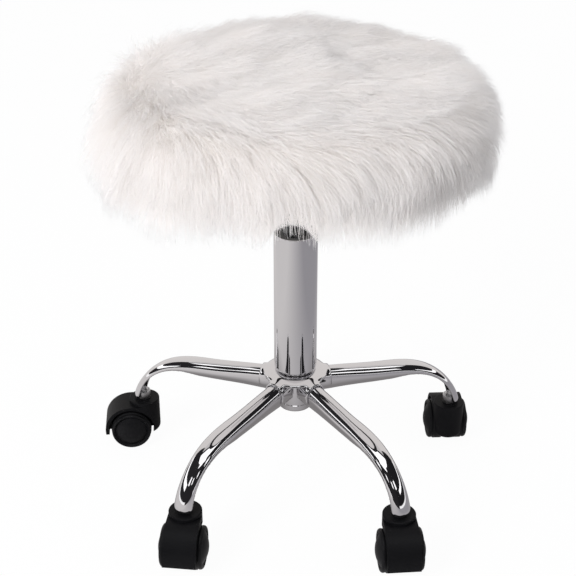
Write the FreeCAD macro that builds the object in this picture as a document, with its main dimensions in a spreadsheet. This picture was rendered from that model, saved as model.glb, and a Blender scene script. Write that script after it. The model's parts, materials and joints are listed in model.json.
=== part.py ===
"""A rolling vanity stool: a fur-covered round seat on a gas lift, a base of five pressed tube
legs, and five hooded twin-wheel casters.

Millimetres and degrees, +Z up. The origin is on the floor, on the column's axis, and one leg
points along +Y.
"""
import FreeCAD, Part
import os
import re
import Sketcher

# The driving dimensions: name, value, what it is.
SIZES = (
    ("caster_circle", 201.5, "radius of the circle of swivel axes"),
    ("wheel_diameter", 50, "caster wheel over its tread"),
    ("wheel_width", 17.5, "from a wheel's inner face to its outer edge"),
    ("wheel_dome", 7, "how far a wheel's outer face bulges"),
    ("bead_width", 5.4, "raised ring round a wheel's outer edge"),
    ("wheel_room", 3.4, "gap over the tread inside the hood"),
    ("wheel_side_gap", 0.5, "gap between the web and a wheel"),
    ("caster_trail", 17.5, "swivel axis to axle"),
    ("neck_diameter", 37.5, "caster neck, and the hood's width"),
    ("neck_top", 62, "height of the neck's top face"),
    ("neck_bottom", 16, "height of the neck's lower edge"),
    ("neck_round", 7, "rounding of the neck's lower edge"),
    ("neck_edge", 1.2, "rounding of the neck's top edge"),
    ("hood_radius", 32.5, "outer curve of the hood over the wheels"),
    ("hood_lip", 19.5, "height of the hood's rear lip"),
    ("web_thickness", 12, "web between the two wheels"),
    ("boss_radius", 8, "axle boss on the web"),
    ("axle_diameter", 7, "wheel axle"),
    ("axle_reach", 17.5, "axle beyond the web on each side"),
    ("stem_diameter", 10, "caster stem"),
    ("stem_reach", 14, "stem above the neck"),
    ("stem_depth", 14, "stem pressed into the neck"),
    ("stem_tip", 1.2, "bevel on the stem's tip"),
    ("grip_ring_height", 5, "spring ring that holds the stem in its socket"),
    ("grip_ring_depth", 0.8, "groove for that ring"),
    ("grip_ring_drop", 6, "groove below the stem's tip"),
    ("socket_diameter", 16.4, "sleeve inside a leg's end"),
    ("socket_length", 10, "length of that sleeve"),
    ("socket_gap", 0.3, "between the caster neck and the sleeve"),
    ("right_caster_turn", 94, "way the right caster trails, from +X"),
    ("rear_caster_turn", 271, "way the rear caster trails"),
    ("left_caster_turn", 186, "way the left caster trails"),
    ("front_left_caster_turn", 265, "way the front left caster trails"),
    ("front_right_caster_turn", 276, "way the front right caster trails"),
    ("running_fit", 0.05, "radial clearance of what turns or slides"),
    ("push_fit", 0.03, "radial clearance of what is pressed in or welded"),
    ("hub_diameter", 39, "hub tube the legs are welded to"),
    ("hub_wall", 2, "wall of the hub tube"),
    ("hub_bottom", 97.5, "height of the hub tube's lower end"),
    ("hub_ring_height", 8.5, "rolled ring at that end"),
    ("hub_ring_lip", 0.7, "how far the ring stands out"),
    ("hub_ring_round", 2, "rounding under the ring"),
    ("leg_hub_top", 143.9, "height of a leg's top at the hub"),
    ("leg_hub_bottom", 113.3, "height of a leg's underside at the hub"),
    ("leg_hub_width", 20.8, "width of a leg at the hub"),
    ("leg_bend_depth", 20, "depth of a leg where its bend starts"),
    ("leg_bend_width", 25.2, "width of a leg there"),
    ("leg_end_depth", 25, "depth of a leg's end before it is opened"),
    ("leg_end_width", 26, "width of a leg's end"),
    ("leg_end_reach", 11.9, "leg's outer face beyond the swivel axis"),
    ("leg_end_gap", 2.8, "between the caster neck and the leg's end"),
    ("leg_roundness", 0.94, "corner radius as a share of the half section"),
    ("leg_wall", 2, "wall of the leg tube"),
    ("bend_radius", 89.5, "outside radius of a leg's bend"),
    ("bend_first_angle", 4, "slope where the bend starts"),
    ("bend_last_angle", 76, "slope where the bend ends"),
    ("arch_radius", 61.7, "arched opening under a leg's end"),
    ("arch_drop", 8, "arch's centre below the leg's end"),
    ("wing_back", -1.5, "how far the end's wings pass the swivel axis"),
    ("cover_radius", 38, "edge of the hub cover between the legs"),
    ("cover_crest", 24, "radius where the cover starts to slope"),
    ("cover_drop", 5.5, "fall of the cover from its crest to its edge"),
    ("cover_round", 24, "curve of that slope"),
    ("cover_lobe", 42, "reach of the cover's arch over a leg"),
    ("cover_wall", 1.6, "sheet thickness of the cover"),
    ("cover_gap", 0.5, "room round a leg inside its arch"),
    ("cover_skirt", 120, "height of the arches' lower edges"),
    ("column_diameter", 50, "outer tube of the gas lift"),
    ("column_wall", 1.5, "its wall"),
    ("column_top", 327, "height of its open top"),
    ("column_shoulder", 148.8, "height of its swaged shoulder"),
    ("shoulder_round", 4, "rounding of the shoulder"),
    ("shoulder_gap", 0.3, "between the shoulder and the hub cover"),
    ("spigot_bottom", 100, "height of the column's lower end in the hub"),
    ("spigot_floor", 4, "thickness of that end"),
    ("bush_length", 80, "plastic guide in the column's top"),
    ("bush_recess", 2, "guide below the column's rim"),
    ("race_thickness", 1.5, "thrust bearing race"),
    ("race_bore", 11.2, "hole through the races"),
    ("race_diameter", 25, "races' outer diameter"),
    ("ball_diameter", 4, "thrust bearing ball"),
    ("ball_circle", 9, "radius of the ball circle"),
    ("rod_diameter", 8, "piston rod"),
    ("rod_collar_diameter", 14, "collar that stands on the bearing"),
    ("rod_collar_height", 3, "its height"),
    ("rod_tail", 2.2, "rod below the column's lower end"),
    ("clip_thickness", 1.2, "clip on the rod's tail"),
    ("clip_diameter", 14, "its outer diameter"),
    ("clip_depth", 1, "groove for the clip"),
    ("piston_bottom", 255, "height of the piston"),
    ("piston_length", 14, "its length"),
    ("rod_tip", 4, "rod above the piston"),
    ("cylinder_diameter", 28, "lift cylinder"),
    ("cylinder_wall", 1.5, "its wall"),
    ("cylinder_bottom", 171, "height of its lower end"),
    ("guide_recess", 2, "rod guide inside that end"),
    ("guide_length", 20, "length of the rod guide"),
    ("valve_length", 28, "closed valve end of the cylinder"),
    ("taper_slope", 0.025, "taper of the cylinder's top, radius per length"),
    ("pin_diameter", 6, "release pin"),
    ("pin_length", 22, "its length"),
    ("pin_stand", 4.2, "pin above the cylinder's top"),
    ("pin_gap", 0.3, "between the pin and the lever"),
    ("board_bottom", 438, "height of the seat board's underside"),
    ("board_thickness", 12, "plywood seat board"),
    ("board_inset", 4, "its edge inside the foam's"),
    ("plate_side", 160, "square seat plate"),
    ("plate_thickness", 3, "its thickness"),
    ("plate_corner", 12, "its corner radius"),
    ("bolt_circle", 84.85, "radius of the circle of seat bolts"),
    ("bolt_diameter", 6, "seat bolt"),
    ("bolt_head_diameter", 11, "its head"),
    ("bolt_head_height", 4.5, "height of the head"),
    ("bolt_reach", 10, "bolt inside the board"),
    ("bolt_room", 0.3, "clearance hole round a bolt"),
    ("nut_diameter", 8, "barrel of a tee nut"),
    ("nut_flange_diameter", 18, "flange of a tee nut"),
    ("nut_flange_thickness", 1.5, "its thickness"),
    ("housing_height", 26, "channel under the seat plate"),
    ("housing_width", 45, "its width"),
    ("housing_back", 35, "its length behind the axis"),
    ("housing_front", 42, "its length towards the lever"),
    ("housing_wall", 2.5, "its sheet thickness"),
    ("taper_diameter", 38, "taper socket under the channel"),
    ("taper_drop", 20, "socket below the channel"),
    ("taper_stand", 3, "socket above the channel's floor"),
    ("lever_pivot", 30, "lever pin from the axis"),
    ("lever_pin_diameter", 5, "lever pin"),
    ("lever_pin_overhang", 1.5, "pin's end outside the channel"),
    ("lever_thickness", 8, "lever bar, and its rod"),
    ("lever_width", 10, "width of the bar"),
    ("lever_tail", 7, "bar past the axis"),
    ("lever_nose", 10, "bar past its pin"),
    ("lever_room", 1.6, "between the bar and the seat plate"),
    ("lever_slope", 9, "fall of the lever's rod"),
    ("lever_length", 135, "rod from its pin"),
    ("grip_length", 45, "plastic grip on the rod"),
    ("grip_diameter", 13, "its diameter"),
    ("grip_overlap", 32, "rod inside the grip"),
    ("grip_round", 4, "rounding of the grip's end"),
    ("soft_gap", 0.3, "clearance round soft pieces"),
    ("foam_radius", 182, "seat foam"),
    ("foam_height", 56, "its height at the middle"),
    ("foam_crown", 5, "middle above the edge"),
    ("foam_round", 22, "rounding of its edge"),
    ("fur_side", 28, "pile on the side"),
    ("fur_top", 20, "pile on top"),
    ("fur_round", 40, "rounding of the fur's edge"),
    ("fur_fringe", 14, "fur below the board"),
    ("fur_fringe_inset", 12, "fringe's inner edge beyond the foam"),
    ("fur_fringe_width", 9, "width of the fringe's lower edge"),
    ("hem_inner", 150, "radius the cover is turned under to"),
    ("hem_thickness", 2, "backing cloth of the fur"),
    ("dust_inner", 116, "hole in the dust cover"),
    ("dust_inset", 17, "dust cover's edge inside the foam's"),
    ("dust_thickness", 1, "its thickness"),
)

LEG_ANGLES = {"right": 18, "rear": 90, "left": 162, "front_left": 234, "front_right": 306}
BALL_COUNT = 12
BOLT_COUNT = 4
STRAIGHT_STEPS = 5
BEND_STEPS = 4

doc = FreeCAD.newDocument("RollingVanityStool")
sheet = doc.addObject("Spreadsheet::Sheet", "Sizes")
for row, (alias, value, words) in enumerate(SIZES, 1):
    sheet.set(f"A{row}", words)
    sheet.set(f"B{row}", str(value))
    sheet.setAlias(f"B{row}", alias)
doc.recompute()

ALIASES = {alias for alias, value, words in SIZES}
NODES = []


# Formulas over the sheet
def bound(formula):
    """The formula with each size's name pointing at its cell."""
    point = lambda word: f"Sizes.{word[0]}" if word[0] in ALIASES else word[0]
    return re.sub(r"[a-z][a-z_]*", point, formula)


def number(formula):
    """The formula's value now."""
    return float(sheet.evalExpression(formula))


WHEEL_RADIUS = "(wheel_diameter / 2)"
HUB_RADIUS = "(hub_diameter / 2)"
NECK_RADIUS = "(neck_diameter / 2)"
STEM_RADIUS = "(stem_diameter / 2)"
SOCKET_RADIUS = "(socket_diameter / 2)"
ROD_RADIUS = "(rod_diameter / 2)"
PIN_RADIUS = "(pin_diameter / 2)"
CYLINDER_RADIUS = "(cylinder_diameter / 2)"
CYLINDER_BORE = f"({CYLINDER_RADIUS} - cylinder_wall)"
COLUMN_RADIUS = "(column_diameter / 2)"
COLUMN_BORE = f"({COLUMN_RADIUS} - column_wall)"
SPIGOT_RADIUS = f"({HUB_RADIUS} - hub_wall - push_fit)"
SPIGOT_BORE = f"({SPIGOT_RADIUS} - column_wall)"
HOOD_TOP = f"({WHEEL_RADIUS} + hood_radius)"
HOOD_BACK = f"(caster_trail + sqrt(hood_radius^2 - ({WHEEL_RADIUS} - hood_lip)^2))"
STEM_TOP = "(neck_top + stem_reach)"
RING_TOP = f"({STEM_TOP} - grip_ring_drop)"
RING_BOTTOM = f"({RING_TOP} - grip_ring_height)"
SOCKET_BOTTOM = "(neck_top + socket_gap)"
LEG_END = "(neck_top + leg_end_gap)"
BEND_REACH = "(bend_radius * (sin(bend_last_angle) - sin(bend_first_angle)))"
BEND_START = f"(caster_circle + leg_end_reach - {BEND_REACH})"
BEND_TOP = f"({LEG_END} + bend_radius * (cos(bend_first_angle) - cos(bend_last_angle)))"
COVER_TOP = "(column_shoulder - shoulder_gap)"
HUB_TOP = f"({COVER_TOP} - cover_wall)"
SPIGOT_FLOOR_TOP = "(spigot_bottom + spigot_floor)"
BALL_BOTTOM = f"({SPIGOT_FLOOR_TOP} + race_thickness + running_fit)"
BALL_TOP = f"({BALL_BOTTOM} + ball_diameter + running_fit)"
COLLAR_BOTTOM = f"({BALL_TOP} + race_thickness)"
CLIP_TOP = "(spigot_bottom - running_fit)"
HOUSING_TOP = "(board_bottom - plate_thickness)"
HOUSING_BOTTOM = f"({HOUSING_TOP} - housing_height)"
TAPER_BOTTOM = f"({HOUSING_BOTTOM} - taper_drop)"
TAPER_TOP = f"({HOUSING_BOTTOM} + housing_wall + taper_stand)"
LEVER_HEIGHT = f"({HOUSING_TOP} - lever_room - lever_thickness / 2)"
PIN_TOP = f"({LEVER_HEIGHT} - lever_thickness / 2 - pin_gap)"
CYLINDER_TOP = f"({PIN_TOP} - pin_stand)"
CYLINDER_ROOF = f"({CYLINDER_TOP} - valve_length)"
BOARD_TOP = "(board_bottom + board_thickness)"
FOAM_BOTTOM = f"({BOARD_TOP} + soft_gap)"
FOAM_TOP = f"({FOAM_BOTTOM} + foam_height)"
HEM_TOP = "(board_bottom - soft_gap)"
HEM_BOTTOM = f"({HEM_TOP} - hem_thickness)"


def taper_radius(height):
    """The cylinder's outer radius at a height on its tapered top."""
    return f"({CYLINDER_RADIUS} - taper_slope * ({height} - {TAPER_BOTTOM}))"


def crown_radius(half_width, rise):
    """The radius of a shallow arc that rises over a half width and is level at the middle."""
    return f"(({half_width})^2 + ({rise})^2) / (2 * ({rise}))"


# Bodies, sketches and features
def new_body(label):
    """An empty body that is one of the stool's pieces."""
    body = doc.addObject("PartDesign::Body", label)
    body.Label = label
    NODES.append(body)
    return body


def origin_feature(body, role):
    return next(f for f in body.Origin.OriginFeatures if f.Role == role)


def sketch_on(body, name, plane="XZ_Plane", shift=("0", "0", "0"), tilt="0"):
    """An empty sketch on one of the body's planes, shifted along its axes and tilted about its first."""
    sketch = body.newObject("Sketcher::SketchObject", f"{body.Name}_{name}")
    sketch.AttachmentSupport = [(origin_feature(body, plane), "")]
    sketch.MapMode = "FlatFace"
    turn = FreeCAD.Rotation(FreeCAD.Vector(1, 0, 0), number(tilt))
    sketch.AttachmentOffset = FreeCAD.Placement(FreeCAD.Vector(*map(number, shift)), turn)
    for axis, formula in zip("xyz", shift):
        sketch.setExpression(f"AttachmentOffset.Base.{axis}", bound(formula))
    return sketch


def arc_between(start, end, radius, left):
    """The short arc from start to end whose centre is on the left or right of the way there."""
    chord = end - start
    across = FreeCAD.Vector(-chord.y, chord.x, 0).normalize() * (1 if left else -1)
    height = max(radius**2 - (chord.Length / 2) ** 2, 0) ** 0.5
    circle = Part.Circle((start + end) / 2 + across * height, FreeCAD.Vector(0, 0, 1), radius)
    first, last = (start, end) if left else (end, start)
    return Part.ArcOfCircle(circle, circle.parameter(first), circle.parameter(last))


def outline(sketch, corners):
    """A closed outline. Each corner is (across, up), and an arc to the next one adds its radius and way."""
    places = [FreeCAD.Vector(number(corner[0]), number(corner[1]), 0) for corner in corners]
    starts, ends = [], []
    for index, corner in enumerate(corners):
        start, end = places[index], places[(index + 1) % len(corners)]
        if len(corner) == 2:
            edge = sketch.addGeometry(Part.LineSegment(start, end))
            starts.append((edge, 1))
            ends.append((edge, 2))
            continue
        left = corner[3] == "left"
        edge = sketch.addGeometry(arc_between(start, end, number(corner[2]), left))
        starts.append((edge, 1 if left else 2))
        ends.append((edge, 2 if left else 1))
        limit = sketch.addConstraint(Sketcher.Constraint("Radius", edge, number(corner[2])))
        sketch.setExpression(f"Constraints[{limit}]", bound(corner[2]))
    for index, corner in enumerate(corners):
        following = starts[(index + 1) % len(corners)]
        sketch.addConstraint(Sketcher.Constraint("Coincident", *ends[index], *following))
        for kind, formula in zip(("DistanceX", "DistanceY"), corner):
            limit = sketch.addConstraint(Sketcher.Constraint(kind, -1, 1, *starts[index], number(formula)))
            sketch.setExpression(f"Constraints[{limit}]", bound(formula))


def circle(sketch, across, up, radius):
    """A circle at a place in the sketch."""
    place = FreeCAD.Vector(number(across), number(up), 0)
    edge = sketch.addGeometry(Part.Circle(place, FreeCAD.Vector(0, 0, 1), number(radius)))
    for kind, formula in (("DistanceX", across), ("DistanceY", up)):
        limit = sketch.addConstraint(Sketcher.Constraint(kind, -1, 1, edge, 3, number(formula)))
        sketch.setExpression(f"Constraints[{limit}]", bound(formula))
    limit = sketch.addConstraint(Sketcher.Constraint("Radius", edge, number(radius)))
    sketch.setExpression(f"Constraints[{limit}]", bound(radius))


def rounded_box(sketch, width, depth, corner):
    """A rectangle about the sketch's origin with round corners."""
    x, y = f"({width}) / 2", f"({depth}) / 2"
    flat_x, flat_y = f"({x} - {corner})", f"({y} - {corner})"
    outline(
        sketch,
        (
            (f"-{flat_x}", f"-({y})"),
            (flat_x, f"-({y})", corner, "left"),
            (x, f"-{flat_y}"),
            (x, flat_y, corner, "left"),
            (flat_x, y),
            (f"-{flat_x}", y, corner, "left"),
            (f"-({x})", flat_y),
            (f"-({x})", f"-{flat_y}", corner, "left"),
        ),
    )


def feature(body, kind, name, sketch, **settings):
    """A feature made from a sketch. A text setting is a formula, unless it names a choice."""
    made = body.newObject(f"PartDesign::{kind}", f"{body.Name}_{name}")
    made.Profile = sketch
    for key, setting in settings.items():
        if key in ("Length", "Angle"):
            made.setExpression(key, bound(setting))
        else:
            setattr(made, key, setting)
    body.Tip = made
    return made


def spin(body, kind, name, corners):
    """A Revolution or Groove of an outline of (radius, height) corners round the body's Z axis."""
    sketch = sketch_on(body, f"{name}_profile")
    outline(sketch, corners)
    return feature(body, kind, name, sketch, ReferenceAxis=(sketch, ["V_Axis"]), Angle="360")


def ring(inner, outer, bottom, top):
    """The corners of a plain ring's section."""
    return ((inner, bottom), (outer, bottom), (outer, top), (inner, top))


def turned(label, corners):
    """A piece turned about its own Z axis."""
    body = new_body(label)
    spin(body, "Revolution", "turn", corners)
    return body


def patterned(body, originals, count):
    """Copies of features, evenly spaced round the body's Z axis."""
    pattern = body.newObject("PartDesign::PolarPattern", f"{body.Name}_{originals[0].Name}_copies")
    pattern.Originals = originals
    pattern.Axis = (origin_feature(body, "Z_Axis"), [""])
    pattern.Angle = 360
    pattern.Occurrences = count
    body.Tip = pattern


def place(body, at, turn):
    """Moves a piece to where it belongs, keeping its position bound to the sheet."""
    body.Placement = FreeCAD.Placement(FreeCAD.Vector(*map(number, at)), turn)
    for axis, formula in zip("xyz", at):
        body.setExpression(f"Placement.Base.{axis}", bound(formula))


def about(axis, angle):
    return FreeCAD.Rotation(FreeCAD.Vector(*axis), angle)


# The base
def leg_line(radius):
    """Middle height, depth and width of a leg's straight run at a radius from the column's axis."""
    share = f"(({radius} - {HUB_RADIUS}) / ({BEND_START} - {HUB_RADIUS}))"
    top = f"(leg_hub_top + {share} * ({BEND_TOP} - leg_hub_top))"
    bottom = f"(leg_hub_bottom + {share} * ({BEND_TOP} - leg_bend_depth - leg_hub_bottom))"
    width = f"(leg_hub_width + {share} * (leg_bend_width - leg_hub_width))"
    return f"(({top} + {bottom}) / 2)", f"({top} - {bottom})", width


def leg_corner(width, depth):
    return f"(leg_roundness * min({width}; {depth}) / 2)"


def straight_section(radius):
    """(radius, height, tilt, width, depth) of a section of the straight run."""
    height, depth, width = leg_line(radius)
    return radius, height, "0", width, depth


def bend_section(share, overrun="0"):
    """The same in the bend, share of the way round it, and past its end by an overrun."""
    angle = f"(bend_first_angle + {share} * (bend_last_angle - bend_first_angle))"
    depth = f"(leg_bend_depth + {share} * (leg_end_depth - leg_bend_depth))"
    width = f"(leg_bend_width + {share} * (leg_end_width - leg_bend_width))"
    inward = f"(bend_radius - {depth} / 2)"
    centre_out = f"({BEND_START} - bend_radius * sin(bend_first_angle))"
    centre_up = f"({BEND_TOP} - bend_radius * cos(bend_first_angle))"
    radius = f"({centre_out} + {inward} * sin({angle}) + {overrun} * cos({angle}))"
    height = f"({centre_up} + {inward} * cos({angle}) - {overrun} * sin({angle}))"
    return radius, height, angle, width, depth


def section_sketch(body, name, section, inset="0"):
    """A leg's section, drawn smaller by an inset."""
    radius, height, tilt, width, depth = section
    sketch = sketch_on(body, name, "YZ_Plane", ("0", height, radius), tilt)
    width, depth = f"({width} - 2 * {inset})", f"({depth} - 2 * {inset})"
    rounded_box(sketch, width, depth, leg_corner(width, depth))
    return sketch


def loft(body, kind, name, sections, inset="0"):
    """A loft through leg sections."""
    first, *others = [section_sketch(body, f"{name}_{i}", s, inset) for i, s in enumerate(sections)]
    return feature(body, kind, name, first, Sections=others)


def make_leg(place_name, angle):
    """A pressed tube: tall at the hub, wide at the bend, with a half-round end that holds the socket."""
    body = new_body(f"leg_{place_name}")
    shares = [step / STRAIGHT_STEPS for step in range(STRAIGHT_STEPS)]
    straight = [straight_section(f"({share} * {BEND_START})") for share in shares]
    bend = [bend_section(str(step / BEND_STEPS)) for step in range(BEND_STEPS + 1)]
    past_end = bend_section("1", "leg_end_depth")
    loft(body, "AdditiveLoft", "tube", [*straight, *bend, past_end])
    loft(body, "SubtractiveLoft", "bore", [*straight, *bend, past_end], "leg_wall")
    cope = ring("0", f"({HUB_RADIUS} + push_fit)", "leg_hub_bottom / 2", "leg_hub_top * 2")
    spin(body, "Groove", "cope", cope)
    end_inner, end_outer = "(caster_circle - 2 * leg_end_depth)", "(caster_circle + 2 * leg_end_depth)"
    spin(body, "Groove", "end_cut", ring(end_inner, end_outer, f"({LEG_END} - 2 * leg_end_depth)", LEG_END))
    arch = sketch_on(body, "arch_profile")
    arch_centre = "(caster_circle - wing_back - sqrt(arch_radius^2 - arch_drop^2))"
    circle(arch, arch_centre, f"({LEG_END} - arch_drop)", "arch_radius")
    feature(body, "Pocket", "arch", arch, SideType="Symmetric", Length="2 * leg_end_width")
    seat = sketch_on(body, "seat_profile", "XY_Plane", ("0", "0", f"({SOCKET_BOTTOM} - socket_gap)"))
    circle(seat, "caster_circle", "0", f"({SOCKET_RADIUS} + push_fit)")
    depth = "(socket_length + 2 * socket_gap)"
    feature(body, "Pocket", "seat", seat, Reversed=True, Length=depth)
    body.Placement.Rotation = about((0, 0, 1), angle)


def make_hub_tube():
    lip = f"({HUB_RADIUS} + hub_ring_lip)"
    ring_top = "(hub_bottom + hub_ring_height)"
    bore = f"({HUB_RADIUS} - hub_wall)"
    turned(
        "hub_tube",
        (
            (bore, "hub_bottom"),
            (f"({lip} - hub_ring_round)", "hub_bottom", "hub_ring_round", "left"),
            (lip, "(hub_bottom + hub_ring_round)"),
            (lip, f"({ring_top} - hub_ring_lip)"),
            (HUB_RADIUS, ring_top),
            (HUB_RADIUS, HUB_TOP),
            (bore, HUB_TOP),
        ),
    )


def make_hub_cover():
    """A pressed cap round the column, with an arch over each leg."""
    body = new_body("hub_cover")
    hole = f"({SPIGOT_RADIUS} + cover_gap)"
    edge = f"({COVER_TOP} - cover_drop)"
    dome = (
        (hole, HUB_TOP),
        ("cover_crest", HUB_TOP, "cover_round", "right"),
        ("cover_radius", f"({edge} - cover_wall)"),
        ("cover_radius", edge, "cover_round", "left"),
        ("cover_crest", COVER_TOP),
        (hole, COVER_TOP),
    )
    spin(body, "Revolution", "dome", dome)
    inner = straight_section(f"({HUB_RADIUS} + cover_gap)")
    outer = straight_section("cover_lobe")
    arch = loft(body, "AdditiveLoft", "arch", [inner, outer], "(-cover_gap - cover_wall)")
    patterned(body, [arch], len(LEG_ANGLES))
    passage = [straight_section("0"), straight_section("(cover_lobe + cover_wall)")]
    passage = loft(body, "SubtractiveLoft", "passage", passage, "(-cover_gap)")
    patterned(body, [passage], len(LEG_ANGLES))
    below = "(cover_skirt / 2)"
    spin(body, "Groove", "hub_room", ring("0", f"({HUB_RADIUS} + push_fit)", below, HUB_TOP))
    spin(body, "Groove", "skirt_cut", ring("0", "(cover_lobe * 2)", below, "cover_skirt"))
    body.Placement.Rotation = about((0, 0, 1), LEG_ANGLES["right"])


def make_ring_group(label, inner, outer, bottom, height, angle):
    """One short tube on each swivel axis."""
    body = new_body(label)
    sketch = sketch_on(body, "section", "XY_Plane", ("0", "0", bottom))
    circle(sketch, "caster_circle", "0", outer)
    circle(sketch, "caster_circle", "0", inner)
    tube = feature(body, "Pad", "tube", sketch, Length=height)
    patterned(body, [tube], len(LEG_ANGLES))
    body.Placement.Rotation = about((0, 0, 1), angle)


def make_column_tube():
    """The gas lift's outer tube, swaged down to a spigot in the hub and closed round the rod."""
    rod_hole = f"({ROD_RADIUS} + running_fit)"
    turned(
        "column_tube",
        (
            (rod_hole, "spigot_bottom"),
            (SPIGOT_RADIUS, "spigot_bottom"),
            (SPIGOT_RADIUS, "column_shoulder"),
            (f"({COLUMN_RADIUS} - shoulder_round)", "column_shoulder", "shoulder_round", "left"),
            (COLUMN_RADIUS, "(column_shoulder + shoulder_round)"),
            (COLUMN_RADIUS, "(column_top - column_wall / 2)", "(column_wall / 2)", "left"),
            (f"({COLUMN_RADIUS} - column_wall / 2)", "column_top"),
            (COLUMN_BORE, "column_top"),
            (COLUMN_BORE, "(column_shoulder + shoulder_round + column_wall)"),
            (SPIGOT_BORE, "(column_shoulder + column_wall)"),
            (SPIGOT_BORE, SPIGOT_FLOOR_TOP),
            (rod_hole, SPIGOT_FLOOR_TOP),
        ),
    )


def make_guide_bush():
    top = "(column_top - bush_recess)"
    bore = f"({CYLINDER_RADIUS} + running_fit)"
    outer = f"({COLUMN_BORE} - push_fit)"
    turned("guide_bush", ring(bore, outer, f"({top} - bush_length)", top))


# The gas lift
def make_thrust_bearing():
    bore, outer = "(race_bore / 2)", "(race_diameter / 2)"
    lower_top = f"({SPIGOT_FLOOR_TOP} + race_thickness)"
    turned("thrust_race_lower", ring(bore, outer, SPIGOT_FLOOR_TOP, lower_top))
    turned("thrust_race_upper", ring(bore, outer, BALL_TOP, COLLAR_BOTTOM))
    body = new_body("thrust_balls")
    ball = body.newObject("PartDesign::AdditiveSphere", "thrust_balls_ball")
    ball.setExpression("Radius", bound("ball_diameter / 2"))
    ball.setExpression("AttachmentOffset.Base.x", bound("ball_circle"))
    ball.setExpression("AttachmentOffset.Base.z", bound(f"({BALL_BOTTOM} + ball_diameter / 2)"))
    ball.AttachmentSupport = [(origin_feature(body, "XY_Plane"), "")]
    ball.MapMode = "FlatFace"
    patterned(body, [ball], BALL_COUNT)


def make_rod():
    """The piston rod, which stands on the bearing by its collar, with its piston and clip."""
    clip_bottom = f"({CLIP_TOP} - clip_thickness)"
    neck = f"({ROD_RADIUS} - clip_depth)"
    collar = "(rod_collar_diameter / 2)"
    collar_top = f"({COLLAR_BOTTOM} + rod_collar_height)"
    piston_top = "(piston_bottom + piston_length)"
    turned(
        "piston_rod",
        (
            ("0", "(spigot_bottom - rod_tail)"),
            (ROD_RADIUS, "(spigot_bottom - rod_tail)"),
            (ROD_RADIUS, clip_bottom),
            (neck, clip_bottom),
            (neck, CLIP_TOP),
            (ROD_RADIUS, CLIP_TOP),
            (ROD_RADIUS, COLLAR_BOTTOM),
            (collar, COLLAR_BOTTOM),
            (collar, collar_top),
            (ROD_RADIUS, collar_top),
            (ROD_RADIUS, f"({piston_top} + rod_tip)"),
            ("0", f"({piston_top} + rod_tip)"),
        ),
    )
    turned("rod_clip", ring(f"({neck} + push_fit)", "(clip_diameter / 2)", clip_bottom, CLIP_TOP))
    bore = f"({ROD_RADIUS} + push_fit)"
    turned("piston", ring(bore, f"({CYLINDER_BORE} - running_fit)", "piston_bottom", piston_top))


def make_cylinder():
    """The lift cylinder with its tapered valve end, and the rod guide in its lower end."""
    pin_hole = f"({PIN_RADIUS} + running_fit)"
    turned(
        "lift_cylinder",
        (
            (CYLINDER_BORE, "cylinder_bottom"),
            (CYLINDER_RADIUS, "cylinder_bottom"),
            (CYLINDER_RADIUS, TAPER_BOTTOM),
            (taper_radius(CYLINDER_TOP), CYLINDER_TOP),
            (pin_hole, CYLINDER_TOP),
            (pin_hole, CYLINDER_ROOF),
            (CYLINDER_BORE, CYLINDER_ROOF),
        ),
    )
    guide_bottom = "(cylinder_bottom + guide_recess)"
    bore, outer = f"({ROD_RADIUS} + running_fit)", f"({CYLINDER_BORE} - push_fit)"
    turned("rod_guide", ring(bore, outer, guide_bottom, f"({guide_bottom} + guide_length)"))
    edge = f"({PIN_TOP} - {PIN_RADIUS} / 2)"
    bottom = f"({PIN_TOP} - pin_length)"
    dome = crown_radius(PIN_RADIUS, f"{PIN_RADIUS} / 2")
    tip = (PIN_RADIUS, edge, dome, "left")
    turned("release_pin", (("0", bottom), (PIN_RADIUS, bottom), tip, ("0", PIN_TOP)))


# The seat's plate and lever
def bolt_holes(body, name, height, radius, depth):
    """A hole for each seat bolt, cut down from a height."""
    sketch = sketch_on(body, f"{name}_profile", "XY_Plane", ("0", "0", height))
    circle(sketch, "bolt_circle", "0", radius)
    hole = feature(body, "Pocket", name, sketch, Length=depth)
    patterned(body, [hole], BOLT_COUNT)


def turn_to_corners(body):
    """Turns bolts drawn along X to the plate's corners."""
    body.Placement.Rotation = about((0, 0, 1), 45)


def make_seat_plate():
    body = new_body("seat_plate")
    square = sketch_on(body, "square", "XY_Plane", ("0", "0", HOUSING_TOP))
    rounded_box(square, "plate_side", "plate_side", "plate_corner")
    square.AttachmentOffset.Rotation = about((0, 0, 1), 45)
    feature(body, "Pad", "sheet", square, Length="plate_thickness")
    bolt_holes(body, "holes", "board_bottom", "(bolt_diameter / 2 + bolt_room)", "plate_thickness * 2")
    turn_to_corners(body)


def make_lever_housing():
    """A channel welded under the plate, with holes for the taper socket and the lever pin."""
    body = new_body("lever_housing")
    half, inside = "(housing_width / 2)", "(housing_width / 2 - housing_wall)"
    floor = f"({HOUSING_BOTTOM} + housing_wall)"
    channel = sketch_on(body, "channel", "YZ_Plane", ("0", "0", "(-housing_back)"))
    outline(
        channel,
        (
            (f"-{half}", HOUSING_BOTTOM),
            (half, HOUSING_BOTTOM),
            (half, HOUSING_TOP),
            (inside, HOUSING_TOP),
            (inside, floor),
            (f"-{inside}", floor),
            (f"-{inside}", HOUSING_TOP),
            (f"-{half}", HOUSING_TOP),
        ),
    )
    feature(body, "Pad", "fold", channel, Length="(housing_back + housing_front)")
    hole = "(taper_diameter / 2 + push_fit)"
    below, above = f"({HOUSING_BOTTOM} - housing_wall)", f"({floor} + housing_wall)"
    spin(body, "Groove", "socket_hole", ring("0", hole, below, above))
    cross = sketch_on(body, "cross")
    circle(cross, "lever_pivot", LEVER_HEIGHT, "(lever_pin_diameter / 2 + push_fit)")
    feature(body, "Pocket", "pin_holes", cross, SideType="Symmetric", Length="2 * housing_width")


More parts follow.
